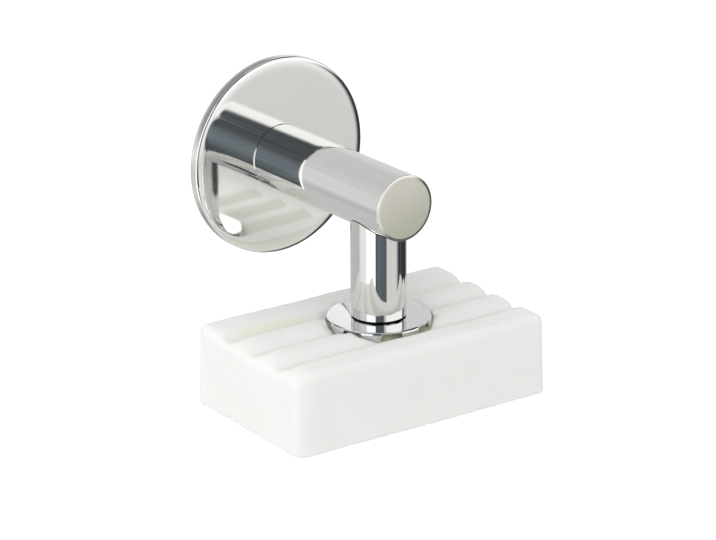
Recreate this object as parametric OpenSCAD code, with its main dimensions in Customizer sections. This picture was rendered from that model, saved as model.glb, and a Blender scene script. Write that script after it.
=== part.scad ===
// Wall-held soap holder: a round disc, a straight arm, a short post with a
// magnet in its foot, and a toothed steel cap pressed into a ridged soap bar.
// Origin at the middle of the adhesive face, arm along -Y, +Z up.

/* [Wall disc] */
// Diameter of the polished disc
disc_d = 55.4; // [46:0.2:70]
// Thickness of the metal disc
disc_t = 3.2; // [3:0.1:5]
// Width of the rounded zone around the disc's front
disc_edge_w = 4; // [1:0.1:5]
// How far that zone falls back at the rim
disc_edge_drop = 0.8; // [0.1:0.05:1]
// Bevel around the disc's back
disc_back_bevel = 0.1; // [0.1:0.05:0.4]
// Thickness of the foam adhesive pad
pad_t = 0.8; // [0.6:0.1:1.5]
// How deep the pad sits in the disc's back
pad_sunk = 0.5; // [0.2:0.1:0.5]
// Width of the disc's rim around the pad
pad_rim = 1.2; // [0.8:0.1:3]
// Free gap around the pad in its recess
pad_clear = 0.1; // [0.05:0.05:0.3]

/* [Arm] */
// Outer diameter of the arm tube
arm_d = 18; // [17:0.5:22]
// Wall of the arm tube
arm_wall = 1; // [0.8:0.1:1.5]
// Distance from the wall to the arm's front face
arm_reach = 59; // [46:0.5:90]
// Width of the rounded ring on the front face
arm_edge_w = 0.8; // [0.3:0.1:0.8]
// How far that ring falls back
arm_edge_drop = 0.3; // [0.05:0.05:0.5]
// Bevel around the arm's wall end
arm_base_bevel = 0.35; // [0.1:0.05:0.4]
// Thickness of the plate that closes the front end
end_cap_t = 3; // [2:0.5:3]
// Length of the threaded plug at the wall end
arm_plug_len = 15; // [13:0.5:18]

/* [Post] */
// Outer diameter of the post tube
post_d = 15; // [14:0.5:16]
// Wall of the post tube
post_wall = 1; // [0.8:0.1:1.5]
// Distance from the arm's front face back to the post's axis
post_back = 11.5; // [10.5:0.5:20]
// Distance from the arm's axis down to the post's lower end
post_drop = 32.7; // [32.7:0.1:60]
// Bevel inside and outside the post's lower rim
post_bevel = 0.25; // [0.1:0.05:0.3]
// Parting line between the coped post and the arm
cope_gap = 0.15; // [0.05:0.05:0.3]
// Depth of the threaded plug below the arm's underside
post_plug_len = 12.5; // [12:0.5:13]

/* [Fasteners] */
// Thread diameter of the countersunk screw behind the disc
disc_screw_d = 4; // [3:0.5:4]
// Head diameter of that screw
disc_screw_head_d = 8; // [7:0.5:8]
// Length of that screw over its head
disc_screw_len = 12; // [8:0.5:12]
// Width across the flats of its hexagon socket
disc_screw_key = 2.5; // [1.5:0.5:3]
// Thread diameter of the screw that holds the post
post_screw_d = 5; // [4:0.5:5]
// Head diameter of that screw
post_screw_head_d = 8.5; // [8:0.5:9.5]
// Height of its head
post_screw_head_h = 5; // [4:0.5:6]
// Length of its shank
post_screw_len = 16; // [12:0.5:16]
// Width across the flats of its hexagon socket
post_screw_key = 4; // [3:0.5:4]
// Thickness of the spring washer
washer_t = 1.2; // [0.8:0.1:1.6]
// Outer diameter of the spring washer
washer_d = 8.7; // [8:0.1:9.2]
// Width of the slot that splits the washer
washer_slot = 0.8; // [0.4:0.1:1.5]
// Diameter of the pin that stops the arm from turning
pin_d = 2; // [1.5:0.5:3]
// Length of that pin
pin_len = 5; // [4:0.5:7]
// Distance of the pin's axis from the arm's bore
pin_inset = 2.4; // [2:0.1:3]
// How deep the pin sits in the disc
pin_bite = 1.5; // [1:0.1:1.6]

/* [Saddle] */
// Height of the saddle's flat seat above the bottom of the arm's bore
saddle_h = 3; // [2.5:0.5:4]
// Length of the saddle along the arm
saddle_len = 12; // [10:1:14]
// Clearance around the post screw in the saddle and the arm
screw_clear = 0.2; // [0.1:0.05:0.4]

/* [Magnet] */
// Height of the steel pot around the magnet
pot_h = 4.5; // [4:0.5:8]
// Wall of the steel pot
pot_wall = 1.2; // [0.8:0.1:2]
// Floor of the steel pot
pot_floor = 1.2; // [0.8:0.1:2]
// How far the pot stands out of the post
pot_proud = 0.25; // [0:0.05:0.5]
// Running gap between the magnet and its pot
magnet_gap = 0.05; // [0.02:0.01:0.1]
// Length of the seat plug above the pot
seat_len = 5; // [3:0.5:5]
// Vent bore through the seat plug
seat_bore = 3; // [2:0.5:5]

/* [Soap cap] */
// Diameter over the outer faces of the teeth
cap_d = 28.4; // [24:0.2:32]
// Sheet thickness
cap_t = 0.5; // [0.3:0.05:0.8]
// Outer radius of the bend into each tooth
cap_bend = 0.8; // [0.8:0.1:1.2]
// How far the edge between the teeth stays inside their faces
cap_gap_inset = 0.25; // [0.1:0.05:0.4]
// Number of teeth
tooth_count = 8; // [6:1:10]
// Width of a tooth at the bend
tooth_w = 5.8; // [4:0.1:6.5]
// Width of a tooth at its tip
tooth_tip_w = 3; // [2:0.1:4]
// Corner cut from each side of a tooth's tip
tooth_tip_cut = 0.6; // [0.2:0.1:0.8]
// Length of a tooth from the cap's top face
tooth_len = 6.5; // [5:0.5:9]
// Free gap between the magnet's pot and the cap
cap_gap = 0.05; // [0.02:0.01:0.2]

/* [Soap bar] */
// Length of the bar at its base
soap_len = 80.4; // [50:0.2:100]
// How far each end leans in from the base to the top
soap_lean = 0.8; // [0:0.1:3]
// Width of the bar
soap_w = 48.4; // [46:0.2:60]
// Height of the bar over its ridges
soap_h = 23.3; // [14:0.1:34]
// How far the cap's sheet is pressed into the ridges
cap_bed = 0.3; // [0.1:0.05:0.8]
// Number of grooves along the top
groove_count = 3; // [1:1:3]
// Distance between grooves
groove_pitch = 12; // [9:0.5:12]
// Depth of a groove
groove_depth = 2.1; // [0.5:0.1:3]
// Width of a groove over the round shoulders of its ridges
groove_w = 10.4; // [4:0.2:11]
// Radius of the bar's upright edges
soap_corner_r = 1.6; // [1:0.1:6]
// Radius of the bar's top edges
soap_top_r = 1.8; // [0.5:0.1:4]
// Radius of the bar's bottom edges
soap_base_r = 1.4; // [0.5:0.1:4]
// The bar's middle to the left of the post
soap_left = 3.1; // [0:0.1:8]
// The bar's middle in front of the post
soap_front = 0.9; // [-2:0.1:4]
// Turn of the bar on the magnet, in degrees
soap_turn = -2.2; // [-10:0.1:10]
// Clearance of the cap and its teeth in the bar
slot_clear = 0.05; // [0.02:0.01:0.2]

/* [Hidden] */
$fn = 64;
disc_back = pad_t - pad_sunk;
disc_face = disc_back + disc_t;
pad_r = disc_d / 2 - pad_rim - pad_clear;
post_reach = arm_reach - post_back;
arm_r = arm_d / 2;
arm_bore_r = arm_r - arm_wall;
pin_offset = arm_bore_r - pin_inset;
post_r = post_d / 2;
post_bore_r = post_r - post_wall;
cope_r = arm_r + cope_gap;
pot_low = -post_drop - pot_proud;
pot_high = pot_low + pot_h;
pot_bore_r = post_bore_r - pot_wall;
cap_top = pot_low - cap_gap;
cap_r = cap_d / 2;
cap_under = cap_top - cap_t;
tooth_tip = cap_top - tooth_len;
soap_top = cap_under + cap_bed;
soap_base = soap_top - soap_h;
seat_z = -arm_bore_r + saddle_h;
screw_z = seat_z + washer_t;
chrome = [0.86, 0.86, 0.85];
steel = [0.66, 0.67, 0.69];
zinc = [0.74, 0.75, 0.77];

// Lays a shape's +Z along the arm, away from the wall.
module along_arm() {
  rotate([90, 0, 0])
    children();
}

// Puts a shape drawn around Z on the post's axis.
module on_post() {
  translate([0, -post_reach, 0])
    children();
}

// Points of the curve that rounds a flat face of radius r off at its rim. It
// leaves the face slowly and meets the side wall at a right angle.
function rounded(r, face, w, drop, n = 9) =
  [for (i = [0:n])
    let (a = 90 * (1 - i / n))
    [r - w + w * sqrt(sin(a)), face - drop * (1 - cos(a))]];

// Foam adhesive pad, the face that meets the wall.
module adhesive_pad() {
  color([0.3, 0.31, 0.32])
    along_arm()
      cylinder(r = pad_r, h = pad_t, $fn = 96);
}

// Polished disc with a rounded front edge, recessed behind for its pad and
// countersunk from that side.
module wall_disc() {
  r = disc_d / 2;
  b = disc_back_bevel;
  sink = (disc_screw_head_d - disc_screw_d) / 2;
  color(chrome)
    along_arm()
      difference() {
        rotate_extrude($fn = 96)
          polygon(concat([[0, pad_t], [pad_r + pad_clear, pad_t],
            [pad_r + pad_clear, disc_back], [r - b, disc_back],
            [r, disc_back + b]],
            rounded(r, disc_face, disc_edge_w, disc_edge_drop),
            [[0, disc_face]]));
        translate([0, 0, pad_t - 1])
          cylinder(d = disc_screw_d, h = disc_t + 2);
        translate([0, 0, pad_t])
          cylinder(d1 = disc_screw_head_d, d2 = disc_screw_d, h = sink);
        translate([0, pin_offset, disc_face - pin_bite])
          cylinder(d = pin_d, h = pin_bite + 1, $fn = 24);
      }
}

// Countersunk socket screw from the disc's back into the arm plug.
module disc_screw() {
  sink = (disc_screw_head_d - disc_screw_d) / 2;
  color(steel)
    along_arm()
      translate([0, 0, pad_t])
        difference() {
          union() {
            cylinder(d1 = disc_screw_head_d, d2 = disc_screw_d, h = sink);
            cylinder(d = disc_screw_d, h = disc_screw_len);
          }
          translate([0, 0, -1])
            cylinder(d = disc_screw_key / cos(30), h = sink / 2 + 1, $fn = 6);
        }
}

// Dowel pin across the joint of disc and arm plug.
module locating_pin() {
  color(steel)
    along_arm()
      translate([0, pin_offset, disc_face - pin_bite])
        cylinder(d = pin_d, h = pin_len, $fn = 24);
}

// Threaded plug pressed into the wall end of the arm tube.
module arm_plug() {
  color(zinc)
    along_arm()
      difference() {
        translate([0, 0, disc_face])
          cylinder(r = arm_bore_r, h = arm_plug_len);
        translate([0, 0, disc_face - 1])
          cylinder(d = disc_screw_d, h = disc_screw_len + 1);
        translate([0, pin_offset, disc_face - 1])
          cylinder(d = pin_d, h = pin_len - pin_bite + 1, $fn = 24);
      }
}

// Straight polished arm tube, drilled below for the post screw.
module arm_tube() {
  b = arm_base_bevel;
  color(chrome)
    difference() {
      along_arm()
        rotate_extrude($fn = 96)
          polygon(concat([[arm_bore_r, disc_face], [arm_r - b, disc_face],
            [arm_r, disc_face + b]],
            rounded(arm_r, arm_reach, arm_edge_w, arm_edge_drop),
            [[arm_bore_r, arm_reach]]));
      on_post()
        translate([0, 0, -arm_r - 1])
          cylinder(d = post_screw_d + 2 * screw_clear, h = arm_r);
    }
}

// Round plate set flush into the arm's front end.
module arm_end_cap() {
  color(chrome)
    along_arm()
      translate([0, 0, arm_reach - end_cap_t])
        cylinder(r = arm_bore_r, h = end_cap_t, $fn = 96);
}

// Saddle that lies in the arm's bore and gives the screw a flat seat.
module arm_saddle() {
  color(zinc)
    on_post()
      difference() {
        intersection() {
          translate([0, saddle_len / 2, 0])
            along_arm()
              cylinder(r = arm_bore_r, h = saddle_len);
          translate([-arm_r, -arm_r, -arm_r])
            cube([arm_d, arm_d, seat_z + arm_r]);
        }
        translate([0, 0, -arm_r - 1])
          cylinder(d = post_screw_d + 2 * screw_clear, h = arm_d);
      }
}

// Socket screw that clamps the post to the arm.
module post_screw() {
  color(steel)
    on_post()
      difference() {
        union() {
          translate([0, 0, screw_z])
            cylinder(d = post_screw_head_d, h = post_screw_head_h);
          translate([0, 0, screw_z - post_screw_len])
            cylinder(d = post_screw_d, h = post_screw_len);
        }
        translate([0, 0, screw_z + post_screw_head_h / 2])
          cylinder(d = post_screw_key / cos(30), h = post_screw_head_h, $fn = 6);
      }
}

// Split spring washer under the screw head.
module spring_washer() {
  color(steel)
    on_post()
      translate([0, 0, seat_z])
        difference() {
          cylinder(d = washer_d, h = washer_t);
          translate([0, 0, -1])
            cylinder(d = post_screw_d + 2 * screw_clear, h = washer_t + 2);
          translate([0, -washer_slot / 2, -1])
            cube([washer_d, washer_slot, washer_t + 2]);
        }
}

// Threaded plug in the post's top, coped to the arm like the tube.
module post_plug() {
  low = -arm_r - post_plug_len;
  color(zinc)
    difference() {
      on_post()
        translate([0, 0, low])
          cylinder(r = post_bore_r, h = -low);
      along_arm()
        cylinder(r = cope_r, h = post_reach + arm_d, $fn = 96);
      on_post()
        translate([0, 0, screw_z - post_screw_len])
          cylinder(d = post_screw_d, h = arm_d);
    }
}

// Polished post tube, its top coped to the arm's round underside.
module post_tube() {
  b = post_bevel;
  color(chrome)
    difference() {
      on_post()
        rotate_extrude($fn = 96)
          polygon([[post_bore_r + b, -post_drop], [post_r - b, -post_drop],
            [post_r, -post_drop + b], [post_r, 0], [post_bore_r, 0],
            [post_bore_r, -post_drop + b]]);
      along_arm()
        cylinder(r = cope_r, h = post_reach + arm_d, $fn = 96);
    }
}

// Plastic plug that the magnet's pot is bonded to.
module magnet_seat() {
  color([0.15, 0.15, 0.16])
    on_post()
      translate([0, 0, pot_high])
        difference() {
          cylinder(r = post_bore_r, h = seat_len);
          translate([0, 0, -1])
            cylinder(d = seat_bore, h = seat_len + 2, $fn = 32);
        }
}

// Black-coated steel pot, open below, that carries the field round the magnet.
module magnet_pot() {
  color([0.1, 0.1, 0.11])
    on_post()
      translate([0, 0, pot_low])
        difference() {
          cylinder(r = post_bore_r, h = pot_h);
          translate([0, 0, -1])
            cylinder(r = pot_bore_r, h = pot_h - pot_floor + 1);
        }
}

// Round magnet with its running gap in the pot.
module magnet() {
  color([0.78, 0.77, 0.74])
    on_post()
      translate([0, 0, pot_low])
        cylinder(r = pot_bore_r - magnet_gap, h = pot_h - pot_floor - magnet_gap);
}

// Half section of the cap's sheet where it bends into a tooth. The faces grow
// by c, which gives the slot in the soap.
module tooth_section(c = 0) {
  n = 6;
  inner = cap_bend - cap_t;
  mid_r = cap_r - cap_bend;
  mid_z = cap_top - cap_bend;
  polygon(concat(
    [[mid_r - 1, cap_top + c]],
    [for (i = [0:n])
      let (a = 90 - 90 * i / n)
      [mid_r + (cap_bend + c) * cos(a), mid_z + (cap_bend + c) * sin(a)]],
    [[cap_r + c, tooth_tip - 1], [cap_r - cap_t - c, tooth_tip - 1]],
    [for (i = [0:n])
      let (a = 90 * i / n)
      [mid_r + (inner - c) * cos(a), mid_z + (inner - c) * sin(a)]],
    [[mid_r - 1, cap_under - c]]));
}

// Wedge-shaped outline of every tooth, cut through the bent sheet.
module teeth(c = 0) {
  w = tooth_w / 2 + c;
  tip = tooth_tip_w / 2 + c;
  low = tooth_tip - c;
  soft = tooth_tip_cut;
  intersection() {
    rotate_extrude($fn = 96)
      tooth_section(c);
    for (i = [0:tooth_count - 1])
      rotate([0, 0, 360 * i / tooth_count])
        rotate([90, 0, 90])
          translate([0, 0, cap_r / 2])
            linear_extrude(height = cap_r)
              polygon([[-w, cap_top + 1], [-w, cap_top - cap_bend],
                [-tip, low + soft], [-tip + soft, low],
                [tip - soft, low], [tip, low + soft],
                [w, cap_top - cap_bend], [w, cap_top + 1]]);
  }
}

// Pressed steel cap: a flat mirror top with a ring of bent-down teeth.
module soap_cap() {
  color(chrome)
    on_post()
      union() {
        translate([0, 0, cap_under])
          cylinder(r = cap_r - cap_bend, h = cap_t, $fn = 96);
        difference() {
          translate([0, 0, cap_under])
            cylinder(r = cap_r - cap_gap_inset, h = cap_t, $fn = 96);
          for (i = [0:tooth_count - 1])
            rotate([0, 0, 360 * i / tooth_count])
              translate([cap_r / 2, -tooth_w / 2, cap_under - 1])
                cube([cap_r, tooth_w, cap_t + 2]);
        }
        teeth();
      }
}

// Height of the bar's ridged top at a distance v across it: convex ridges with
// a narrow valley between them.
function ridge(v) =
  let (nearest = round(v / groove_pitch + (groove_count % 2 == 0 ? 0.5 : 0)))
  let (lim = (groove_count - 1) / 2)
  let (k = groove_count % 2 == 0 ? nearest - 0.5 : nearest)
  let (slot = max(-lim, min(lim, k)))
  let (d = abs(v - slot * groove_pitch))
  d >= groove_w / 2 ? 0 : -groove_depth * pow(1 - 2 * d / groove_w, 2);

// Quarter arc of radius r about a corner, from angle a.
function corner(x, z, r, a, n = 6) =
  [for (i = [0:n]) [x + r * cos(a + 90 * i / n), z + r * sin(a + 90 * i / n)]];

// Cross section of the bar: ridged top, eased top and bottom edges.
module soap_section() {
  half = soap_w / 2;
  flat = half - soap_top_r;
  steps = 96;
  polygon(concat(
    corner(-half + soap_base_r, soap_base + soap_base_r, soap_base_r, 180),
    corner(half - soap_base_r, soap_base + soap_base_r, soap_base_r, 270),
    corner(flat, soap_top - soap_top_r, soap_top_r, 0),
    [for (i = [1:steps - 1])
      let (v = flat - 2 * flat * i / steps)
      [v, soap_top + ridge(v)]],
    corner(-flat, soap_top - soap_top_r, soap_top_r, 90)));
}

// Side view of the bar: its ends lean in a little and have soft edges.
module soap_side() {
  low = soap_len / 2 - soap_base_r;
  high = soap_len / 2 - soap_lean - soap_top_r;
  polygon(concat(
    corner(-low, soap_base + soap_base_r, soap_base_r, 180),
    corner(low, soap_base + soap_base_r, soap_base_r, 270),
    corner(high, soap_top - soap_top_r, soap_top_r, 0),
    corner(-high, soap_top - soap_top_r, soap_top_r, 90)));
}

// Plan of the bar with rounded upright edges.
module soap_plan() {
  a = soap_len / 2 - soap_corner_r;
  b = soap_w / 2 - soap_corner_r;
  polygon(concat(
    corner(-a, -b, soap_corner_r, 180),
    corner(a, -b, soap_corner_r, 270),
    corner(a, b, soap_corner_r, 0),
    corner(-a, b, soap_corner_r, 90)));
}

// Ridged soap bar, with a round bed for the cap and slots for its teeth.
module soap_bar() {
  color([0.94, 0.94, 0.92])
    on_post()
      difference() {
        translate([-soap_left, -soap_front, 0])
          rotate([0, 0, soap_turn])
            intersection() {
              translate([-soap_len / 2, 0, 0])
                rotate([90, 0, 90])
                  linear_extrude(height = soap_len)
                    soap_section();
              translate([0, soap_w / 2, 0])
                rotate([90, 0, 0])
                  linear_extrude(height = soap_w)
                    soap_side();
              translate([0, 0, soap_base])
                linear_extrude(height = soap_h)
                  soap_plan();
            }
        translate([0, 0, cap_under - slot_clear])
          cylinder(r = cap_r + slot_clear, h = cap_bed + 1, $fn = 96);
        teeth(slot_clear);
      }
}

adhesive_pad();
wall_disc();
disc_screw();
locating_pin();
arm_plug();
arm_tube();
arm_end_cap();
arm_saddle();
post_screw();
spring_washer();
post_plug();
post_tube();
magnet_seat();
magnet_pot();
magnet();
soap_cap();
soap_bar();
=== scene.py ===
import bmesh
import bpy
import functools
import math
from mathutils import Matrix, Vector


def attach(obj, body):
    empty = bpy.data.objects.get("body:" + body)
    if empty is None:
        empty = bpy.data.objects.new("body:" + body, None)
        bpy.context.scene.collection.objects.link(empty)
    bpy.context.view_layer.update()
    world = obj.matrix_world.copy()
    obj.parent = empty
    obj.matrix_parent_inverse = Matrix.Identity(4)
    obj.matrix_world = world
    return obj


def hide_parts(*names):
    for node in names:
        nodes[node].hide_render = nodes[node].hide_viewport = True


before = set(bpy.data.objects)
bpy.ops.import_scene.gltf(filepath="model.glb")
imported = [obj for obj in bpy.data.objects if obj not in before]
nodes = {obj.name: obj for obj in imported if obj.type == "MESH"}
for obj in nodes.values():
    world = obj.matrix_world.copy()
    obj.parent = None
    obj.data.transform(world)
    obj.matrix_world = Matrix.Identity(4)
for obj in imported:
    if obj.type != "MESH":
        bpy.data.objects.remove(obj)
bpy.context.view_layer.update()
mm = 0.001
postReach = 47.5 * mm  # from the wall to the post's axis
toothCount = 8  # round the cap, and as many dents in the soap
print("frame loaded:", len(nodes), "nodes")


def addNode(tree, kind, inputs=None, **settings):
    node = tree.nodes.new(kind)
    for name, value in settings.items():  # before the inputs, because a setting can make them
        setattr(node, name, value)
    for key, value in (inputs or {}).items():
        if isinstance(value, bpy.types.NodeSocket):
            tree.links.new(value, node.inputs[key])
        else:
            node.inputs[key].default_value = value
    return node


def calc(tree, operation, *terms):
    return addNode(tree, "ShaderNodeMath", dict(enumerate(terms)), operation=operation).outputs[0]


def sumsIn(tree):  # plus, minus, times and over, for one tree
    return [functools.partial(calc, tree, name) for name in ("ADD", "SUBTRACT", "MULTIPLY", "DIVIDE")]


def limit(tree, value, low, high):
    return calc(tree, "MINIMUM", calc(tree, "MAXIMUM", value, low), high)


def smoothMask(tree, value, zeroAt, oneAt):  # eased between the two, and either may be the greater
    node = addNode(tree, "ShaderNodeMapRange", {"Value": value, "From Min": zeroAt, "From Max": oneAt},
                   interpolation_type="SMOOTHSTEP")
    return node.outputs["Result"]


def stretch(tree, value, low, high, toLow=0.0, toHigh=1.0):
    node = addNode(tree, "ShaderNodeMapRange", {"Value": value, "From Min": low, "From Max": high,
                                                "To Min": toLow, "To Max": toHigh})
    return node.outputs["Result"]


def between(tree, share, first, second):  # a number on the way from the first to the second
    return addNode(tree, "ShaderNodeMix", {0: share, 2: first, 3: second}).outputs[0]


def blendColours(tree, mask, *tones):  # the two tones are three numbers or a socket each
    first, second = (tone if isinstance(tone, bpy.types.NodeSocket) else (*tone, 1) for tone in tones)
    return addNode(tree, "ShaderNodeMix", {0: mask, 6: first, 7: second}, data_type="RGBA").outputs[2]


def splitPoint(tree, point):
    return addNode(tree, "ShaderNodeSeparateXYZ", {0: point}).outputs


def joinPoint(tree, *terms):
    return addNode(tree, "ShaderNodeCombineXYZ", dict(enumerate(terms))).outputs[0]


def noise(tree, point, scale, detail=3.0, rough=0.5):
    node = addNode(tree, "ShaderNodeTexNoise",
                   {"Vector": point, "Scale": scale, "Detail": detail, "Roughness": rough})
    return node.outputs["Fac"]


def newGeometryTree(name, sizes):
    tree = bpy.data.node_groups.new(name, "GeometryNodeTree")
    face = tree.interface
    face.new_socket("Geometry", in_out="OUTPUT", socket_type="NodeSocketGeometry")
    for label, value in sizes.items():
        kind = "NodeSocketInt" if isinstance(value, int) else "NodeSocketFloat"
        face.new_socket(label, in_out="INPUT", socket_type=kind).default_value = value
    return tree, addNode(tree, "NodeGroupInput").outputs, addNode(tree, "NodeGroupOutput")


def growPiece(name, tree, sizes, modifiers=()):  # runs a tree with its sizes and keeps the plain mesh
    seed = bpy.data.objects.new(name + "Seed", bpy.data.meshes.new(name + "Seed"))
    bpy.context.scene.collection.objects.link(seed)
    grow = seed.modifiers.new("Grow", "NODES")
    grow.node_group = tree
    sockets = {s.name: s.identifier for s in tree.interface.items_tree if s.in_out == "INPUT"}
    for label, value in sizes.items():
        grow[sockets[label]] = value
    for kind, settings in modifiers:
        extra = seed.modifiers.new(kind, kind)
        for key, value in settings.items():
            setattr(extra, key, value)
    bpy.context.view_layer.update()
    depsgraph = bpy.context.evaluated_depsgraph_get()
    mesh = bpy.data.meshes.new_from_object(seed.evaluated_get(depsgraph), depsgraph=depsgraph)
    mesh.name = name
    piece = bpy.data.objects.new(name, mesh)
    bpy.context.scene.collection.objects.link(piece)
    bpy.data.objects.remove(seed)
    return piece


def shadeByAngle(piece, degrees):
    piece.data.shade_smooth()
    piece.data.set_sharp_from_angle(angle=math.radians(degrees))


cameraView = {
    "azimuth": -36.698, "elevation": 20.261, "roll": -0.390,
    "target": (-1.495 * mm, -40.376 * mm, -22.150 * mm),
    "distance": 906.37 * mm,
    "focalPixels": 3394.06, "imageWidth": 716, "sensorWidth": 36.0,
}


def placeCamera(view):
    azimuth, elevation, roll = (math.radians(view[k]) for k in ("azimuth", "elevation", "roll"))
    back = Vector((math.sin(azimuth) * math.cos(elevation),
                   -math.cos(azimuth) * math.cos(elevation), math.sin(elevation)))
    right = Vector((math.cos(azimuth), math.sin(azimuth), 0))
    up = back.cross(right)
    across = right * math.cos(roll) + up * math.sin(roll)
    upright = up * math.cos(roll) - right * math.sin(roll)
    place = Vector(view["target"]) + back * view["distance"]
    data = bpy.data.cameras.new("photoCamera")
    data.sensor_width = view["sensorWidth"]
    data.lens = view["focalPixels"] * view["sensorWidth"] / view["imageWidth"]
    camera = bpy.data.objects.new("photoCamera", data)
    camera.matrix_world = Matrix((
        (across.x, upright.x, back.x, place.x),
        (across.y, upright.y, back.y, place.y),
        (across.z, upright.z, back.z, place.z),
        (0, 0, 0, 1)))
    bpy.context.scene.collection.objects.link(camera)
    bpy.context.scene.camera = camera


placeCamera(cameraView)
print("camera placed")


roomTones = {  # brightness of the mirrored room by elevation in degrees
    -90: 0.64, -40: 0.64, -28: 0.645, -20: 0.60, -12: 0.67, -7: 0.80,
    8: 0.80, 18: 0.79, 28: 0.735, 40: 0.70, 90: 0.76,
}
roomTint = (1.0, 1.0, 0.992)
roomPanels = [  # where each one is in degrees, its soft edges at the sides, below and above, and its colour
    {"name": "leftGlow", "azimuth": (150, 210), "elevation": (-50, 55),
     "edges": (14, 14, 14), "colour": (1.0, 1.0, 0.985)},
    {"name": "leftSoftbox", "azimuth": (182, 219), "elevation": (-42, 45),
     "edges": (3, 3, 3), "colour": (1.75, 1.75, 1.73)},
    {"name": "darkRoom", "azimuth": (221, 301), "elevation": (-45, 62),
     "edges": (2.5, 2.5, 2.5), "colour": (0.105, 0.123, 0.132)},
    {"name": "dimWindow", "azimuth": (226, 262), "elevation": (-14, 16),
     "edges": (26, 24, 24), "colour": (0.26, 0.30, 0.34)},
    {"name": "lowerFront", "azimuth": (266, 312), "elevation": (-50, -10),
     "edges": (2.5, 2.5, 2.5), "colour": (0.785, 0.785, 0.755)},
    {"name": "frontWall", "azimuth": (256, 342), "elevation": (-14, 34),
     "edges": (10, 11, 6), "colour": (1.05, 1.05, 1.035)},
    {"name": "frontSoftbox", "azimuth": (266, 342), "elevation": (3, 33),
     "edges": (4, 22, 7), "colour": (1.45, 1.45, 1.42)},
    {"name": "sideGap", "azimuth": (346, 361), "elevation": (2, 60),
     "edges": (4, 4, 4), "colour": (0.235, 0.255, 0.265)},
    {"name": "blackFlag", "azimuth": (317, 384), "elevation": (-60, 4),
     "edges": (17, 17, 4.5), "colour": (0.042, 0.044, 0.050)},
    {"name": "rimWindow", "azimuth": (166, 188), "elevation": (-6, 18),
     "edges": (4, 4, 4), "colour": (1.75, 1.75, 1.73)},
    {"name": "overheadFlag", "azimuth": (324, 396), "elevation": (36, 72),
     "edges": (8, 6, 8), "colour": (0.03, 0.03, 0.032)},
    {"name": "ceilingFlag", "azimuth": (186, 268), "elevation": (46, 92),
     "edges": (8, 6, 1), "colour": (0.09, 0.09, 0.095)},
    {"name": "flagStreak", "azimuth": (334, 340), "elevation": (-60, 4),
     "edges": (2.5, 3, 3), "colour": (0.10, 0.10, 0.12)},
]
roomMottle = {"scale": 14.0, "detail": 2.0, "band": (0.3, 0.7), "strength": 0.035}
softLight = {  # what matt surfaces receive from all round, a little more of it from the upper left
    "base": 0.825, "lean": 0.283, "from": (-0.89, 0.21, 0.40), "tint": (1.0, 1.0, 0.998),
}


def makePanelGroup():  # lays one soft-edged panel over a colour that comes in
    group = bpy.data.node_groups.new("roomPanel", "ShaderNodeTree")
    face = group.interface
    for label in ("Azimuth", "Elevation", "Centre", "Half Width", "Low", "High",
                  "Side Edge", "Low Edge", "High Edge"):
        face.new_socket(label, in_out="INPUT", socket_type="NodeSocketFloat")
    for label in ("Behind", "Colour"):
        face.new_socket(label, in_out="INPUT", socket_type="NodeSocketColor")
    face.new_socket("Result", in_out="OUTPUT", socket_type="NodeSocketColor")
    given = addNode(group, "NodeGroupInput").outputs

    def fade(outer, inner, edge):  # 1 where outer is the greater, softened by the edge's width
        half = calc(group, "MULTIPLY", given[edge], 0.5)
        inside = calc(group, "SUBTRACT", outer, inner)
        return smoothMask(group, inside, calc(group, "MULTIPLY", half, -1.0), half)

    turned = calc(group, "SUBTRACT", given["Azimuth"], given["Centre"])
    wrapped = calc(group, "WRAP", turned, 180.0, -180.0)
    sideways = fade(given["Half Width"], calc(group, "ABSOLUTE", wrapped), "Side Edge")
    below = fade(given["Elevation"], given["Low"], "Low Edge")
    above = fade(given["High"], given["Elevation"], "High Edge")
    mask = calc(group, "MULTIPLY", sideways, calc(group, "MULTIPLY", below, above))
    mix = blendColours(group, mask, given["Behind"], given["Colour"])
    group.links.new(mix, addNode(group, "NodeGroupOutput").inputs["Result"])
    return group


def makeRoom(tree, direction):  # the colour that polished metal mirrors in each direction
    parts = splitPoint(tree, direction)
    degrees = 180 / math.pi
    azimuth = calc(tree, "MULTIPLY", calc(tree, "ARCTAN2", parts[1], parts[0]), degrees)
    elevation = calc(tree, "MULTIPLY", calc(tree, "ARCSINE", parts[2]), degrees)
    ramp = addNode(tree, "ShaderNodeValToRGB", {0: stretch(tree, elevation, -90.0, 90.0)})
    for index, (angle, tone) in enumerate(roomTones.items()):
        stops = ramp.color_ramp.elements
        stop = stops[index] if index < 2 else stops.new(1)
        stop.position = (angle + 90) / 180
        stop.color = (*(tone * share for share in roomTint), 1)
    colour = ramp.outputs["Color"]
    panelGroup = makePanelGroup()
    for panel in roomPanels:
        start, end = panel["azimuth"]
        side, low, high = panel["edges"]
        layer = addNode(tree, "ShaderNodeGroup", {
            "Azimuth": azimuth, "Elevation": elevation, "Behind": colour,
            "Centre": (start + end) / 2, "Half Width": (end - start) / 2,
            "Low": panel["elevation"][0], "High": panel["elevation"][1],
            "Side Edge": side, "Low Edge": low, "High Edge": high,
            "Colour": (*panel["colour"], 1)}, node_tree=panelGroup, label=panel["name"])
        colour = layer.outputs["Result"]
    cloth = noise(tree, direction, roomMottle["scale"], roomMottle["detail"])
    level = stretch(tree, cloth, *roomMottle["band"], -roomMottle["strength"], roomMottle["strength"])
    return addNode(tree, "ShaderNodeVectorMath", {0: colour, 1: level}).outputs[0]


def backdrop(tree, colour, strength=1.0):
    return addNode(tree, "ShaderNodeBackground", {"Color": colour, "Strength": strength}).outputs[0]


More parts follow.
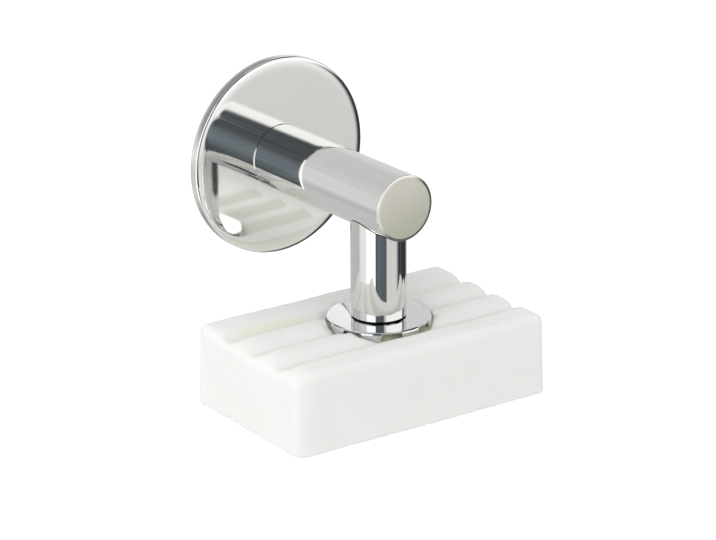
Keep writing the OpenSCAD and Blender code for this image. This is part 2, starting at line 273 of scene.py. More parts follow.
def makeWorld():  # white to the camera, the room to polished metal, soft light to all else
    world = bpy.data.worlds.new("studioRoom")
    bpy.context.scene.world = world
    world.use_nodes = True
    tree = world.node_tree
    tree.nodes.clear()
    direction = addNode(tree, "ShaderNodeTexCoord").outputs["Generated"]
    leaning = addNode(tree, "ShaderNodeVectorMath", {0: direction, 1: softLight["from"]},
                      operation="DOT_PRODUCT")
    level = calc(tree, "MULTIPLY_ADD", leaning.outputs["Value"], softLight["lean"], softLight["base"])
    room = backdrop(tree, makeRoom(tree, direction))
    ambient = backdrop(tree, (*softLight["tint"], 1), level)
    white = backdrop(tree, (1, 1, 1, 1))
    path = addNode(tree, "ShaderNodeLightPath").outputs
    lit = addNode(tree, "ShaderNodeMixShader", {0: path["Is Glossy Ray"], 1: ambient, 2: room}).outputs[0]
    both = addNode(tree, "ShaderNodeMixShader", {0: path["Is Camera Ray"], 1: lit, 2: white}).outputs[0]
    addNode(tree, "ShaderNodeOutputWorld", {"Surface": both})


paleFloor = {"height": -450 * mm, "half": 6.0, "colour": (0.86, 0.86, 0.86), "glow": 0.35}


def makeFloor(sizes):
    half = sizes["half"]
    mesh = bpy.data.meshes.new("paleFloor")
    corners = [(-half, -half), (half, -half), (half, half), (-half, half)]
    mesh.from_pydata([(x, y, sizes["height"]) for x, y in corners], [], [(0, 1, 2, 3)])
    floor = bpy.data.objects.new("paleFloor", mesh)
    bpy.context.scene.collection.objects.link(floor)
    material = bpy.data.materials.new("paleFloor")
    material.use_nodes = True
    tree = material.node_tree
    tree.nodes.clear()
    lit = addNode(tree, "ShaderNodeBsdfDiffuse", {"Color": (*sizes["colour"], 1)})
    glow = addNode(tree, "ShaderNodeEmission", {"Color": (1, 1, 1, 1), "Strength": sizes["glow"]})
    path = addNode(tree, "ShaderNodeLightPath").outputs["Is Camera Ray"]
    none = addNode(tree, "ShaderNodeEmission", {"Color": (0, 0, 0, 1), "Strength": 0.0})
    lift = addNode(tree, "ShaderNodeMixShader", {0: path, 1: none.outputs[0], 2: glow.outputs[0]})
    both = addNode(tree, "ShaderNodeAddShader", {0: lit.outputs[0], 1: lift.outputs[0]})
    addNode(tree, "ShaderNodeOutputMaterial", {"Surface": both.outputs[0]})
    mesh.materials.append(material)
    floor.visible_glossy = False  # the metal mirrors the room instead


softLamp = {
    "place": (-0.66, -0.53, 0.22), "aim": (0, -0.045, -0.045), "width": 0.4, "power": 0.85,
}


def makeLamp(name, lamp):
    data = bpy.data.lights.new(name, "AREA")
    data.shape = "DISK"
    data.size = lamp["width"]
    data.energy = lamp["power"]
    light = bpy.data.objects.new(name, data)
    place = Vector(lamp["place"])
    light.location = place
    light.rotation_euler = (Vector(lamp["aim"]) - place).to_track_quat("-Z", "Y").to_euler()
    light.visible_glossy = False
    bpy.context.scene.collection.objects.link(light)


makeWorld()
makeFloor(paleFloor)
makeLamp("softLamp", softLamp)
bpy.context.scene.view_settings.view_transform = "Standard"
print("studio built")


def newMaterial(name):
    material = bpy.data.materials.new(name)
    material.use_nodes = True
    tree = material.node_tree
    tree.nodes.clear()
    shader = addNode(tree, "ShaderNodeBsdfPrincipled")
    addNode(tree, "ShaderNodeOutputMaterial", {"Surface": shader.outputs[0]})
    return material, tree, shader


def objectPoint(tree, scale=(1, 1, 1), turn=(0, 0, 0), shift=(0, 0, 0)):
    coordinates = addNode(tree, "ShaderNodeTexCoord").outputs["Object"]
    place = addNode(tree, "ShaderNodeMapping", {
        0: coordinates, "Location": shift, "Rotation": turn, "Scale": scale})
    return place.outputs[0]


def bump(tree, height, distance, below=None):  # below is the bumped normal that this one adds to
    inputs = {"Height": height, "Distance": distance}
    if below is not None:
        inputs["Normal"] = below
    return addNode(tree, "ShaderNodeBump", inputs).outputs["Normal"]


metalTexture = {  # shared by the clouds, hairlines and ripples of the metals below
    "cloudDetail": 2.0, "cloudBand": (0.35, 0.65),
    "hairDetail": 4.0, "hairRough": 0.6, "hairBand": (0.35, 0.75), "rippleDetail": 1.0,
}


def polishedMetal(name, look):
    material, tree, shader = newMaterial(name)
    shader.inputs["Metallic"].default_value = 1.0
    texture = metalTexture
    point = objectPoint(tree)
    cloud = noise(tree, point, look["cloudScale"], texture["cloudDetail"])
    tint = blendColours(tree, stretch(tree, cloud, *texture["cloudBand"]), look["colour"], look["tint"])
    # painted light and shade: the fade blends the base colour towards its colour along one direction
    if "fade" in look:
        fade = look["fade"]
        reach = addNode(tree, "ShaderNodeVectorMath", {0: point, 1: fade["along"]}, operation="DOT_PRODUCT")
        mask = smoothMask(tree, reach.outputs["Value"], fade["start"], fade["end"])
        tint = blendColours(tree, mask, tint, fade["colour"])
    tree.links.new(tint, shader.inputs["Base Color"])
    hairs = noise(tree, objectPoint(tree, scale=look["grain"]), look["grainScale"],
                  texture["hairDetail"], texture["hairRough"])
    tree.links.new(stretch(tree, hairs, *texture["hairBand"], *look["rough"]), shader.inputs["Roughness"])
    ripple = noise(tree, point, look["rippleScale"], texture["rippleDetail"])
    tree.links.new(bump(tree, ripple, look["ripple"]), shader.inputs["Normal"])
    return material


polishedChrome = {
    "colour": (0.775, 0.775, 0.765), "tint": (0.755, 0.758, 0.752), "cloudScale": 60.0,
    "grain": (1, 0.15, 1), "grainScale": 2500.0, "rough": (0.035, 0.075),
    "rippleScale": 180.0, "ripple": 0.004 * mm,
}
# painted light: the disc's face turns lighter towards the lower left, where it mirrors the soap
discChromePaintedLight = dict(polishedChrome, fade={
    "along": (-0.45, 0, -0.89), "start": 8 * mm, "end": 15 * mm, "colour": (0.97, 0.97, 0.94),
})
# painted shade: the post's bottom end is nearly black, for the shadow in the gap over the cap
postChromePaintedShade = dict(polishedChrome, fade={
    "along": (0, 0, -1), "start": 32.64 * mm, "end": 32.69 * mm, "colour": (0.06, 0.06, 0.065),
})
# painted highlight and shade: the arm's front ring is lighter than the chrome and turns dark towards the
# lower right
ringMetalPaintedLightAndShade = dict(polishedChrome, fade={
    "along": (0.755, 0, -0.656), "start": -4.5 * mm, "end": 1.5 * mm, "colour": (0.17, 0.165, 0.16),
}, colour=(0.93, 0.92, 0.87), tint=(0.90, 0.89, 0.84))
# painted shade: the arm's front plate turns darker towards the lower right
endPlateMetalPaintedShade = {
    "fade": {"along": (0.35, 0, -0.94), "start": -9 * mm, "end": 10 * mm, "colour": (0.545, 0.540, 0.475)},
    "colour": (0.765, 0.740, 0.690), "tint": (0.735, 0.720, 0.655), "cloudScale": 120.0,
    "grain": (1, 1, 1), "grainScale": 2500.0, "rough": (0.05, 0.09),
    "rippleScale": 150.0, "ripple": 0.004 * mm,
}
# painted shade: the cap turns darker towards the left
pressedSteelPaintedShade = {
    "fade": {"along": (-1, 0, 0), "start": 3 * mm, "end": 11 * mm, "colour": (0.70, 0.715, 0.73)},
    "colour": (0.765, 0.775, 0.785), "tint": (0.740, 0.750, 0.760), "cloudScale": 90.0,
    "grain": (1, 1, 1), "grainScale": 2200.0, "rough": (0.03, 0.08),
    "rippleScale": 260.0, "ripple": 0.006 * mm,
}
blackCoat = {
    "colour": (0.030, 0.031, 0.034), "tint": (0.020, 0.020, 0.023), "cloudScale": 500.0,
    "grain": (1, 1, 1), "grainScale": 2000.0, "rough": (0.28, 0.45),
    "rippleScale": 900.0, "ripple": 0.008 * mm,
}
fastenerSteel = {
    "colour": (0.52, 0.52, 0.53), "tint": (0.42, 0.42, 0.43), "cloudScale": 400.0,
    "grain": (1, 1, 0.2), "grainScale": 3000.0, "rough": (0.25, 0.42),
    "rippleScale": 900.0, "ripple": 0.01 * mm,
}
dieCastMetal = {
    "colour": (0.60, 0.61, 0.63), "tint": (0.50, 0.51, 0.53), "cloudScale": 500.0,
    "grain": (1, 1, 1), "grainScale": 1800.0, "rough": (0.35, 0.55),
    "rippleScale": 1200.0, "ripple": 0.02 * mm,
}
nickelPlate = {
    "colour": (0.64, 0.60, 0.54), "tint": (0.58, 0.54, 0.49), "cloudScale": 300.0,
    "grain": (1, 1, 1), "grainScale": 2000.0, "rough": (0.12, 0.22),
    "rippleScale": 700.0, "ripple": 0.005 * mm,
}

# painted light and shade on the disc's side wall
sideWallPaintedLightAndShade = {
    "light": (0.93, 0.93, 0.92), "dark": (0.33, 0.34, 0.35), "back": (0.72, 0.72, 0.71),
    "rough": (0.10, 0.18), "grain": (1, 12, 1), "grainScale": 900.0, "grainBand": (0.3, 0.7),
    "left": (5 * mm, 14 * mm), "top": (5 * mm, -5 * mm), "depth": (1.9 * mm, 0.4 * mm),
}


def sideWallPaintedMaterial(look):  # painted shade above and below the left side, less of it towards the wall, and a painted highlight elsewhere
    material, tree, shader = newMaterial("sideWallPaintedLightAndShade")
    shader.inputs["Metallic"].default_value = 1.0
    spot = splitPoint(tree, objectPoint(tree))
    flank = smoothMask(tree, calc(tree, "ABSOLUTE", spot[2]), *look["left"])
    dark = calc(tree, "MULTIPLY", flank, smoothMask(tree, spot[0], *look["top"]))
    behind = smoothMask(tree, calc(tree, "MULTIPLY", spot[1], -1.0), *look["depth"])
    deep = blendColours(tree, behind, look["dark"], look["back"])
    tree.links.new(blendColours(tree, dark, look["light"], deep), shader.inputs["Base Color"])
    lines = noise(tree, objectPoint(tree, scale=look["grain"]), look["grainScale"])
    tree.links.new(stretch(tree, lines, *look["grainBand"], *look["rough"]), shader.inputs["Roughness"])
    return material


foamLook = {
    "light": (0.16, 0.16, 0.165), "dark": (0.07, 0.07, 0.075), "rough": 0.9,
    "cellScale": 2600.0, "cellBand": (0.1, 0.6), "depth": 0.12 * mm,
}
plasticLook = {
    "light": (0.035, 0.035, 0.04), "dark": (0.02, 0.02, 0.024), "rough": (0.4, 0.6),
    "grainScale": 1500.0, "grainBand": (0.3, 0.7), "depth": 0.02 * mm,
}
soapLook = {
    "colour": (0.923, 0.923, 0.914), "shade": (0.897, 0.896, 0.876),
    "cloudScale": 45.0, "cloudDetail": 3.0, "cloudRough": 0.55, "cloudBand": (0.35, 0.7),
    "scatter": 0.35, "scatterDepth": 3.0 * mm, "scatterTint": (1.0, 0.95, 0.85), "ior": 1.46, "gloss": 0.1,
    "rough": (0.45, 0.65), "smearStretch": (0.35, 1, 1), "smearScale": 300.0, "smearDetail": 4.0,
    "smearRough": 0.6, "smearBand": (0.3, 0.7),
    "waveStretch": (0.3, 1, 1), "waveScale": 130.0, "waveDetail": 2.0, "wave": 0.12 * mm,
    "pitScale": 900.0, "pit": 0.03 * mm,
    # painted shade: yellower and darker along the back groove
    "valley": (0.875, 0.875, 0.765), "valleyLine": 12.6 * mm, "valleyReach": (3.6 * mm, 0.3 * mm),
    "valleyEnds": (-38 * mm, -30 * mm, -17 * mm, -8 * mm),
    # painted shade on slopes that face the wall
    "wallSideShadePainted": (0.81, 0.81, 0.755), "slopeTurn": (0.06, 0.32),
    # painted shadow under the cap's rim
    "capShadowPainted": (0.48, 0.48, 0.35), "cavityReach": (15.0 * mm, 14.3 * mm),
    "cavityDepth": (-33.5 * mm, -34.2 * mm),
}
soapPlace = {  # how far the bar's middle is left of the post's axis and in front of it
    "left": 3.1 * mm, "front": 0.9 * mm, "turn": math.radians(-2.2), "top": -33.2 * mm,
}
soapMiddle = Vector((-soapPlace["left"], -postReach - soapPlace["front"], 0))


def foamMaterial(look):
    material, tree, shader = newMaterial("foamPad")
    point = objectPoint(tree)
    voronoi = addNode(tree, "ShaderNodeTexVoronoi", {"Vector": point, "Scale": look["cellScale"]})
    cells = voronoi.outputs["Distance"]
    tone = blendColours(tree, stretch(tree, cells, *look["cellBand"]), look["dark"], look["light"])
    tree.links.new(tone, shader.inputs["Base Color"])
    shader.inputs["Roughness"].default_value = look["rough"]
    tree.links.new(bump(tree, cells, look["depth"]), shader.inputs["Normal"])
    return material


def plasticMaterial(look):
    material, tree, shader = newMaterial("seatPlastic")
    grain = noise(tree, objectPoint(tree), look["grainScale"])
    tree.links.new(blendColours(tree, grain, look["dark"], look["light"]), shader.inputs["Base Color"])
    tree.links.new(stretch(tree, grain, *look["grainBand"], *look["rough"]), shader.inputs["Roughness"])
    tree.links.new(bump(tree, grain, look["depth"]), shader.inputs["Normal"])
    return material


def soapMaterial(look):
    material, tree, shader = newMaterial("soap")
    point = objectPoint(tree)
    cloud = noise(tree, point, look["cloudScale"], look["cloudDetail"], look["cloudRough"])
    tone = blendColours(tree, stretch(tree, cloud, *look["cloudBand"]), look["colour"], look["shade"])

    # painted shade: yellower and darker in the back groove, darker under the cap and where it slopes to the
    # wall
    turnBack = -soapPlace["turn"]
    shift = -(Matrix.Rotation(turnBack, 3, "Z") @ soapMiddle)
    own = splitPoint(tree, objectPoint(tree, turn=(0, 0, turnBack), shift=shift))
    fromLine = calc(tree, "ABSOLUTE", calc(tree, "SUBTRACT", own[1], look["valleyLine"]))
    start, full, fading, end = look["valleyEnds"]
    along = calc(tree, "MULTIPLY", smoothMask(tree, own[0], start, full),
                 smoothMask(tree, own[0], end, fading))
    valley = calc(tree, "MULTIPLY", along, smoothMask(tree, fromLine, *look["valleyReach"]))
    capPoint = objectPoint(tree, scale=(1, 1, 0), shift=(0, postReach, 0))
    ring = addNode(tree, "ShaderNodeVectorMath", {0: capPoint}, operation="LENGTH").outputs["Value"]
    capShadowPainted = calc(tree, "MULTIPLY", smoothMask(tree, ring, *look["cavityReach"]),
                  smoothMask(tree, splitPoint(tree, point)[2], *look["cavityDepth"]))
    normal = addNode(tree, "ShaderNodeNewGeometry").outputs["Normal"]
    wallSideShadePainted = smoothMask(tree, splitPoint(tree, normal)[1], *look["slopeTurn"])
    for place, mask in {"valley": valley, "capShadowPainted": capShadowPainted, "wallSideShadePainted": wallSideShadePainted}.items():
        tone = blendColours(tree, mask, tone, look[place])
    tree.links.new(tone, shader.inputs["Base Color"])
    shader.inputs["Subsurface Weight"].default_value = look["scatter"]
    shader.inputs["Subsurface Radius"].default_value = look["scatterTint"]
    shader.inputs["Subsurface Scale"].default_value = look["scatterDepth"]
    shader.inputs["IOR"].default_value = look["ior"]
    shader.inputs["Specular IOR Level"].default_value = look["gloss"]
    smear = noise(tree, objectPoint(tree, scale=look["smearStretch"]), look["smearScale"],
                  look["smearDetail"], look["smearRough"])
    tree.links.new(stretch(tree, smear, *look["smearBand"], *look["rough"]), shader.inputs["Roughness"])
    waves = noise(tree, objectPoint(tree, scale=look["waveStretch"]), look["waveScale"], look["waveDetail"])
    pits = noise(tree, point, look["pitScale"])
    waved = bump(tree, waves, look["wave"])
    tree.links.new(bump(tree, pits, look["pit"], waved), shader.inputs["Normal"])
    return material


chrome = polishedMetal("polishedChrome", polishedChrome)
discMetalPaintedLight = polishedMetal("discChromePaintedLight", discChromePaintedLight)
postMetalPaintedShade = polishedMetal("postChromePaintedShade", postChromePaintedShade)
armRingPaintedLightAndShade = polishedMetal("ringMetalPaintedLightAndShade", ringMetalPaintedLightAndShade)
frontPlate = polishedMetal("endPlateMetalPaintedShade", endPlateMetalPaintedShade)
capSteel = polishedMetal("pressedSteelPaintedShade", pressedSteelPaintedShade)
boltSteel = polishedMetal("fastenerSteel", fastenerSteel)
castMetal = polishedMetal("dieCastMetal", dieCastMetal)
potCoat = polishedMetal("blackCoat", blackCoat)
nickel = polishedMetal("nickelPlate", nickelPlate)
sideMetalPaintedLightAndShade = sideWallPaintedMaterial(sideWallPaintedLightAndShade)
foam = foamMaterial(foamLook)
plastic = plasticMaterial(plasticLook)
soapWax = soapMaterial(soapLook)

finishOf = {
    "adhesive_pad": foam, "wall_disc": chrome, "arm_tube": chrome, "post_tube": postMetalPaintedShade,
    "arm_end_cap": frontPlate, "soap_cap": capSteel, "soap_bar": soapWax,
    "disc_screw": boltSteel, "locating_pin": boltSteel, "post_screw": boltSteel,
    "spring_washer": boltSteel, "arm_plug": castMetal, "arm_saddle": castMetal,
    "post_plug": castMetal, "magnet_seat": plastic, "magnet_pot": potCoat, "magnet": nickel,
}
for name, material in finishOf.items():
    for slotOfNode in nodes[name].material_slots:
        slotOfNode.material = material
print("materials set on", len(finishOf), "nodes")


def roundedRim(radius, face, width, drop, steps=48):  # from the flat face out to the side wall
    angles = [math.pi / 2 * step / steps for step in range(steps + 1)]
    return [(radius - width + width * math.sqrt(math.sin(angle)), face - drop * (1 - math.cos(angle)))
            for angle in angles]


wallDisc = {
    "radius": 27.7 * mm, "face": 3.5 * mm, "back": 0.3 * mm, "padSeat": 0.8 * mm, "recess": 26.5 * mm,
    "edgeWidth": 4.0 * mm, "edgeDrop": 0.8 * mm, "backBevel": 0.1 * mm,
    "screw": 2.0 * mm, "screwHead": 4.0 * mm, "faceSplit": 0.5, "edgeStrip": 1.0 * mm,
    "turns": 288, "smoothAngle": 25,
}


def discSection(disc):  # radius and distance from the wall, once round, and where the side wall starts
    rim, face = disc["radius"], disc["face"]
    flat = rim - disc["edgeWidth"]
    points = [(disc["screw"], face), (flat * disc["faceSplit"], face), (flat - disc["edgeStrip"], face)]
    points += roundedRim(rim, face, disc["edgeWidth"], disc["edgeDrop"])
    sideStart = len(points) - 1
    bevel, back, seat = disc["backBevel"], disc["back"], disc["padSeat"]
    points += [(rim, back + bevel), (rim - bevel, back), (disc["recess"], back), (disc["recess"], seat),
               (disc["screwHead"], seat), (disc["screw"], seat + disc["screwHead"] - disc["screw"])]
    return points, sideStart


def lathePiece(name, section, turns, materials, bands=()):  # turns a closed section round the arm's axis
    count = len(section)
    points = []
    for turn in range(turns):
        angle = 2 * math.pi * turn / turns
        points += [(radius * math.cos(angle), -away, radius * math.sin(angle)) for radius, away in section]
    faces = []
    for turn in range(turns):
        here, there = turn * count, (turn + 1) % turns * count
        for i in range(count):
            j = (i + 1) % count
            faces.append((here + i, here + j, there + j, there + i))
    mesh = bpy.data.meshes.new(name)
    mesh.from_pydata(points, [], faces)
    for material in materials:
        mesh.materials.append(material)
    for face in mesh.polygons:  # one face per line of the section and turn
        for index, (start, end) in enumerate(bands, 1):
            if start <= face.index % count < end:
                face.material_index = index
    form = bmesh.new()
    form.from_mesh(mesh)
    bmesh.ops.recalc_face_normals(form, faces=form.faces)
    form.to_mesh(mesh)
    form.free()
    piece = bpy.data.objects.new(name, mesh)
    bpy.context.scene.collection.objects.link(piece)
    return piece


def makeDisc(disc):
    section, sideStart = discSection(disc)
    side = (sideStart, sideStart + 2)  # the side wall and the bevel behind it
    piece = lathePiece("wallDisc", section, disc["turns"], (discMetalPaintedLight, sideMetalPaintedLightAndShade), [side])
    shadeByAngle(piece, disc["smoothAngle"])
    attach(piece, "holder")
    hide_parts("wall_disc")
    print("wall disc:", len(piece.data.polygons), "faces")


makeDisc(wallDisc)


armTube = {
    "radius": 9.0 * mm, "bore": 8.0 * mm, "base": wallDisc["face"], "front": 59.0 * mm,
    "baseBevel": 0.35 * mm, "edgeWidth": 0.6 * mm, "edgeDrop": 0.25 * mm, "ring": 8.2 * mm,
    "turns": 192, "smoothAngle": 25,
}


def makeArm(tube):
    radius, base, front, bevel = (tube[k] for k in ("radius", "base", "front", "baseBevel"))
    wallEnd = [(radius - bevel, base), (radius, base + bevel)]
    frontEnd = roundedRim(radius, front, tube["edgeWidth"], tube["edgeDrop"])
    section = [(tube["bore"], base)] + wallEnd + frontEnd[::-1]
    section += [(tube["ring"], front), (tube["bore"], front)]
    ringStart, ringEnd = len(wallEnd) + 1, len(section) - 2
    piece = lathePiece("armTube", section, tube["turns"], (chrome, armRingPaintedLightAndShade, frontPlate),
                       [(ringStart, ringEnd), (ringEnd, ringEnd + 1)])
    shadeByAngle(piece, tube["smoothAngle"])
    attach(piece, "holder")
    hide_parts("arm_tube")
    print("arm tube:", len(piece.data.polygons), "faces")


makeArm(armTube)


soapBar = {
    "Length": 80.4 * mm, "Lean": 0.8 * mm, "Width": 48.4 * mm, "Height": 23.3 * mm,
    "Corner Radius": 1.9 * mm, "Left Radius": 6.5 * mm, "Top Radius": 2.2 * mm, "Base Radius": 1.4 * mm,
    "Left Fall": 1.1 * mm, "Fall Length": 9.0 * mm,
    "Groove Count": 3, "Groove Pitch": 12.0 * mm, "Groove Depth": 2.4 * mm, "Groove Width": 10.4 * mm,
    "Valley Round": 0.018,
    "Worn Length": 5.5 * mm, "Worn Share": 1.0, "Waviness": 0.5 * mm, "Chipping": 0.5 * mm,
    "Cap Across": 0.0, "Cap Along": 0.0, "Cap Turn": 0.0, "Cap Radius": 14.25 * mm, "Cap Bed": 0.7 * mm,
    "Tooth Count": toothCount, "Tooth Half Width": 2.9 * mm, "Dent Depth": 1.1 * mm, "Dent Reach": 1.5 * mm,
    "Seed": 3,
}
soapMesh = {"Vertices X": 224, "Vertices Y": 138, "Vertices Z": 52}
soapWear = {  # the first two set in from the back to the middle, between two shares of the half width
    "leftRounding": (0.95, 0.3), "leftMelt": (0.95, 0.35), "meltPower": 2.2, "groovePower": 2.0,
    "bedEdge": (0.45 * mm, 0.05 * mm), "seedStep": 7.31,
    "waveScale": 70.0, "waveDetail": 2.0, "waveLevel": 0.42,
    "chipScale": 260.0, "chipDetail": 3.0, "chipBand": (0.5, 0.68),
    "chipFromSide": (2.5 * mm, 0.3 * mm), "chipFromBase": (3.0 * mm, 0.5 * mm),
}


def seededNoise(tree, point, seed, scale, detail):
    node = addNode(tree, "ShaderNodeTexNoise", {
        "Vector": point, "W": seed, "Scale": scale, "Detail": detail}, noise_dimensions="4D")
    return node.outputs["Fac"]


def soapTree(sizes, wear):
    tree, given, out = newGeometryTree("soapBarRule", sizes)
    plus, minus, times, over = sumsIn(tree)
    half = [times(given[n], 0.5) for n in ("Length", "Width", "Height")]
    size = joinPoint(tree, given["Length"], given["Width"], given["Height"])
    cube = addNode(tree, "GeometryNodeMeshCube", {"Size": size, **soapMesh})

    def frontward(across, shares):  # 0 at the bar's back, 1 near its middle and in front of it
        return smoothMask(tree, across, *(times(half[1], share) for share in shares))

    # rounded corners, larger at the front of the left end
    spot = splitPoint(tree, addNode(tree, "GeometryNodeInputPosition").outputs[0])
    upper = calc(tree, "GREATER_THAN", spot[2], 0.0)
    edge = between(tree, upper, given["Base Radius"], given["Top Radius"])
    leftward = times(calc(tree, "LESS_THAN", spot[0], 0.0), frontward(spot[1], wear["leftRounding"]))
    ends = between(tree, leftward, given["Corner Radius"], given["Left Radius"])
    radii = [ends, given["Corner Radius"], edge]
    cores, leans = [], []
    for axis in range(3):  # each point goes to the rounded corner nearest to it
        reach = minus(half[axis], radii[axis])
        core = limit(tree, spot[axis], times(reach, -1.0), reach)
        cores.append(core)
        leans.append(over(minus(spot[axis], core), radii[axis]))
    unit = addNode(tree, "ShaderNodeVectorMath", {0: joinPoint(tree, *leans)}, operation="NORMALIZE")
    units = splitPoint(tree, unit.outputs[0])
    x, y, z = (calc(tree, "MULTIPLY_ADD", units[a], radii[a], cores[a]) for a in range(3))

    # the ends lean in towards the top
    climb = over(plus(z, half[2]), given["Height"])
    pull = times(over(given["Lean"], half[0]), climb)
    x = times(x, minus(1.0, pull))

    # grooves along the top between convex ridges, worn shallow at the left end
    last = minus(given["Groove Count"], 1.0)
    lane = calc(tree, "MULTIPLY_ADD", last, 0.5, over(y, given["Groove Pitch"]))
    nearest = limit(tree, calc(tree, "ROUND", lane), 0.0, last)
    off = times(calc(tree, "ABSOLUTE", minus(lane, nearest)), given["Groove Pitch"])
    share = over(off, times(given["Groove Width"], 0.5))
    share = calc(tree, "SQRT", calc(tree, "MULTIPLY_ADD", share, share, given["Valley Round"]))
    hollow = calc(tree, "POWER", calc(tree, "MAXIMUM", minus(1.0, share), 0.0), wear["groovePower"])
    fromEnd = plus(x, half[0])
    worn = times(smoothMask(tree, fromEnd, given["Worn Length"], 0.0), given["Worn Share"])
    groove = times(times(hollow, given["Groove Depth"]), minus(1.0, worn))

    # the left end has melted down a little, apart from its back corner
    melt = calc(tree, "MAXIMUM", minus(1.0, over(fromEnd, given["Fall Length"])), 0.0)
    melt = calc(tree, "POWER", melt, wear["meltPower"])
    fallen = times(times(melt, given["Left Fall"]), frontward(y, wear["leftMelt"]))

    # round bed for the cap, and dents round its teeth
    capX = minus(x, given["Cap Along"])
    capY = minus(y, given["Cap Across"])
    ring = calc(tree, "SQRT", plus(times(capX, capX), times(capY, capY)))
    outward = minus(ring, given["Cap Radius"])
    bed = times(given["Cap Bed"], smoothMask(tree, outward, *wear["bedEdge"]))
    depth = calc(tree, "MAXIMUM", groove, bed)
    turn = plus(calc(tree, "ARCTAN2", capY, capX), given["Cap Turn"])
    turned = times(over(turn, 2 * math.pi), given["Tooth Count"])
    fold = calc(tree, "ABSOLUTE", minus(turned, calc(tree, "ROUND", turned)))
    arc = times(over(fold, given["Tooth Count"]), 2 * math.pi)
    sideways = minus(times(arc, given["Cap Radius"]), given["Tooth Half Width"])
    sideways = calc(tree, "MAXIMUM", sideways, 0.0)
    squares = plus(times(sideways, sideways), times(outward, outward))
    away = over(calc(tree, "SQRT", squares), given["Dent Reach"])
    dent = times(calc(tree, "EXPONENT", times(times(away, away), -1.0)), given["Dent Depth"])
    sunk = plus(plus(depth, dent), fallen)
    rise = over(minus(given["Height"], sunk), given["Height"])
    level = calc(tree, "MULTIPLY_ADD", plus(z, half[2]), rise, times(half[2], -1.0))
    formed = addNode(tree, "GeometryNodeSetPosition", {
        "Geometry": cube.outputs["Mesh"], "Position": joinPoint(tree, x, y, level)})

    # soft waviness everywhere and small chips along the lower edges, always inwards
    here = addNode(tree, "GeometryNodeInputPosition").outputs[0]
    normal = addNode(tree, "GeometryNodeInputNormal").outputs[0]
    seed = times(given["Seed"], wear["seedStep"])
    slow = seededNoise(tree, here, seed, wear["waveScale"], wear["waveDetail"])
    quick = seededNoise(tree, here, seed, wear["chipScale"], wear["chipDetail"])
    at = splitPoint(tree, here)
    toSide = calc(tree, "MINIMUM", *(minus(half[a], calc(tree, "ABSOLUTE", at[a])) for a in range(2)))
    toBase = plus(at[2], half[2])
    nearEdge = times(smoothMask(tree, toSide, *wear["chipFromSide"]),
                     smoothMask(tree, toBase, *wear["chipFromBase"]))
    chips = times(nearEdge, smoothMask(tree, quick, *wear["chipBand"]))
    dips = calc(tree, "MAXIMUM", minus(slow, wear["waveLevel"]), 0.0)
    inward = plus(times(dips, given["Waviness"]), times(chips, given["Chipping"]))
    push = addNode(tree, "ShaderNodeVectorMath", {0: normal, "Scale": times(inward, -1.0)},
                   operation="SCALE").outputs[0]
    aged = addNode(tree, "GeometryNodeSetPosition", {"Geometry": formed.outputs[0], "Offset": push})
    smooth = addNode(tree, "GeometryNodeSetShadeSmooth", {0: aged.outputs[0]})
    real = addNode(tree, "GeometryNodeRealizeInstances", {0: smooth.outputs[0]})
    paint = addNode(tree, "GeometryNodeSetMaterial", {"Geometry": real.outputs[0], "Material": soapWax})
    tree.links.new(paint.outputs[0], out.inputs[0])
    return tree


def makeSoap(bar, place):
    turn = Matrix.Rotation(place["turn"], 4, "Z")
    lift = Vector((0, 0, place["top"] - bar["Height"] / 2))
    toCap = turn.inverted() @ Vector((place["left"], place["front"], 0))
    sizes = {**bar, "Cap Along": toCap.x, "Cap Across": toCap.y, "Cap Turn": place["turn"]}
    piece = growPiece("soapBar", soapTree(sizes, soapWear), sizes)
    piece.data.transform(Matrix.Translation(soapMiddle + lift) @ turn)
    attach(piece, "capped_soap")
    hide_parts("soap_bar")
    print("soap bar:", len(piece.data.polygons), "faces")


makeSoap(soapBar, soapPlace)


capSizes = {
    "Radius": 14.2 * mm, "Bend": 0.8 * mm, "Gap Inset": 0.25 * mm,
    "Tooth Count": toothCount, "Tooth Width": 5.8 * mm, "Tip Width": 3.0 * mm,
    "Tooth Length": 6.5 * mm, "Tip Round": 0.6 * mm,
}
capSheet = {
    "thickness": 0.5 * mm, "edgeRound": 0.07 * mm, "edgeSteps": 2, "edgeAngle": 50, "top": -33.0 * mm,
    "smoothAngle": 35, "weld": 0.002 * mm,
}
capGrid = {"across": 13, "inward": 24, "lip": 3, "tooth": 41}  # vertices of the patches


def flatGrid(tree, width, across, along):  # to be bent, with the x and y of its points
    grid = addNode(tree, "GeometryNodeMeshGrid", {"Size X": width, "Size Y": 1.0,
                                                  "Vertices X": across, "Vertices Y": along})
    spot = splitPoint(tree, addNode(tree, "GeometryNodeInputPosition").outputs[0])
    return grid.outputs["Mesh"], spot[0], spot[1]


def bendGrid(tree, grid, turn, reach, height=0.0):  # each point to its turn, radius and height
    sides = [calc(tree, "MULTIPLY", calc(tree, wave, turn), reach) for wave in ("COSINE", "SINE")]
    place = joinPoint(tree, *sides, height)
    return addNode(tree, "GeometryNodeSetPosition", {"Geometry": grid, "Position": place}).outputs[0]


def polarPatch(tree, turns, reaches, along):  # flat, between two turns and two radii
    grid, x, y = flatGrid(tree, 1.0, capGrid["across"], along)
    turn = between(tree, calc(tree, "ADD", x, 0.5), *turns)
    reach = between(tree, calc(tree, "ADD", y, 0.5), *reaches)
    return bendGrid(tree, grid, turn, reach)


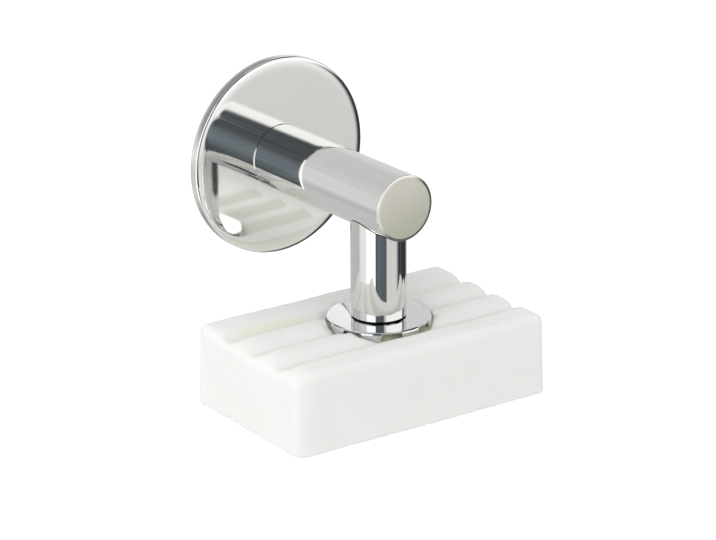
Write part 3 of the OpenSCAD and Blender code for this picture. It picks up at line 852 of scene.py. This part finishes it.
def toothPatch(tree, given, halfTurn):  # over the bend and straight down to a rounded tip
    plus, minus, times, over = sumsIn(tree)
    grid, x, y = flatGrid(tree, 2.0, capGrid["across"], capGrid["tooth"])
    bend = given["Bend"]
    curve = times(bend, math.pi / 2)
    straight = minus(given["Tooth Length"], bend)
    run = times(plus(y, 0.5), plus(curve, straight))
    angle = over(calc(tree, "MINIMUM", run, curve), bend)
    past = calc(tree, "MAXIMUM", minus(run, curve), 0.0)
    reach = calc(tree, "MULTIPLY_ADD", calc(tree, "SINE", angle), bend, minus(given["Radius"], bend))
    arch = calc(tree, "MULTIPLY_ADD", calc(tree, "COSINE", angle), bend, times(bend, -1.0))
    taper = between(tree, over(past, straight), given["Tooth Width"], given["Tip Width"])
    near = minus(1.0, calc(tree, "MINIMUM", over(minus(straight, past), given["Tip Round"]), 1.0))
    curl = minus(1.0, calc(tree, "SQRT", minus(1.0, times(near, near))))
    width = minus(taper, times(times(curl, 2.0), given["Tip Round"]))
    turn = times(times(x, halfTurn), over(width, given["Tooth Width"]))
    return bendGrid(tree, grid, turn, reach, minus(arch, past))


def capTree(sizes):
    tree, given, out = newGeometryTree("toothedCapRule", sizes)
    halfTurn = calc(tree, "DIVIDE", calc(tree, "MULTIPLY", given["Tooth Width"], 0.5), given["Radius"])
    pitch = calc(tree, "DIVIDE", 2 * math.pi, given["Tooth Count"])
    tooth = (calc(tree, "MULTIPLY", halfTurn, -1.0), halfTurn)
    space = (halfTurn, calc(tree, "SUBTRACT", pitch, halfTurn))
    flat = calc(tree, "SUBTRACT", given["Radius"], given["Bend"])
    lip = calc(tree, "SUBTRACT", given["Radius"], given["Gap Inset"])
    patches = [
        polarPatch(tree, tooth, (0.0, flat), capGrid["inward"]),
        polarPatch(tree, space, (0.0, flat), capGrid["inward"]),
        polarPatch(tree, space, (flat, lip), capGrid["lip"]),
        toothPatch(tree, given, halfTurn),
    ]
    joined = addNode(tree, "GeometryNodeJoinGeometry")
    for patch in patches:
        tree.links.new(patch, joined.inputs[0])
    points = addNode(tree, "GeometryNodeMeshLine", {"Count": given["Tooth Count"], "Offset": (0, 0, 0)})
    turn = calc(tree, "MULTIPLY", addNode(tree, "GeometryNodeInputIndex").outputs[0], pitch)
    spin = joinPoint(tree, 0.0, 0.0, turn)
    copies = addNode(tree, "GeometryNodeInstanceOnPoints", {
        "Points": points.outputs[0], "Instance": joined.outputs[0], "Rotation": spin})
    real = addNode(tree, "GeometryNodeRealizeInstances", {0: copies.outputs[0]})
    merged = addNode(tree, "GeometryNodeMergeByDistance", {"Geometry": real.outputs[0],
                                                           "Distance": capSheet["weld"]})
    paint = addNode(tree, "GeometryNodeSetMaterial", {"Geometry": merged.outputs[0], "Material": capSteel})
    tree.links.new(paint.outputs[0], out.inputs[0])
    return tree


def makeCap(sizes, sheet):
    piece = growPiece("toothedCap", capTree(sizes), sizes, modifiers=(
        ("SOLIDIFY", {"thickness": sheet["thickness"], "offset": 1.0, "use_even_offset": True}),
        ("BEVEL", {"width": sheet["edgeRound"], "segments": sheet["edgeSteps"], "limit_method": "ANGLE",
                   "angle_limit": math.radians(sheet["edgeAngle"])}),
    ))
    piece.data.transform(Matrix.Translation((0, -postReach, sheet["top"])))
    shadeByAngle(piece, sheet["smoothAngle"])
    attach(piece, "capped_soap")
    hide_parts("soap_cap")
    print("toothed cap:", len(piece.data.polygons), "faces")


makeCap(capSizes, capSheet)
